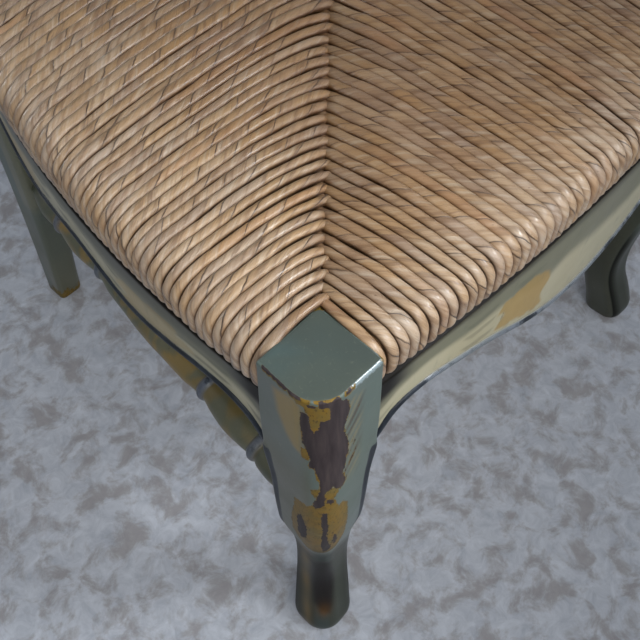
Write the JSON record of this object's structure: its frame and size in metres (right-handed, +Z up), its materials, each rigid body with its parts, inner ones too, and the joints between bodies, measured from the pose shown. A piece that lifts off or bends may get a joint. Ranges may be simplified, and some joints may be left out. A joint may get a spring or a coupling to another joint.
{
  "type": "ladderback dining chair",
  "caption": "Painted country dining chair with a slatted ladder back, cabriole front legs, scalloped aprons, turned stretchers and a hand-woven rush seat.",
  "frame": {"origin": "centre of the chair's bounding footprint, on the floor", "axes": "+Z up, the chair faces -Y, +X to the right of someone who looks at it from the front"},
  "size_m": [0.5324, 0.5694, 1.0736],
  "materials": {
    "painted_wood": "distressed grey-green paint over ochre, satin",
    "bare_wood": "unfinished, hidden under the rush",
    "rush": "twisted natural rush, semi-gloss",
    "stuffing": "packed rush ends, matte"
  },
  "bodies": {
    "root": {"front_leg_left": "painted_wood", "front_leg_right": "painted_wood", "back_post_left": "painted_wood", "back_post_right": "painted_wood", "seat_rail_front": "bare_wood", "seat_rail_back": "bare_wood", "seat_rail_left": "bare_wood", "seat_rail_right": "bare_wood", "apron_front": "painted_wood", "apron_left": "painted_wood", "apron_right": "painted_wood", "stretcher_left": "painted_wood", "stretcher_right": "painted_wood", "cross_stretcher": "painted_wood", "stretcher_back": "painted_wood", "crest_slat": "painted_wood", "ladder_slat_2": "painted_wood", "ladder_slat_3": "painted_wood", "ladder_slat_4": "painted_wood", "slat_pegs": "painted_wood", "rush_front": "rush", "rush_back": "rush", "rush_left": "rush", "rush_right": "rush", "seat_stuffing": "stuffing"}
  },
  "joints": []
}
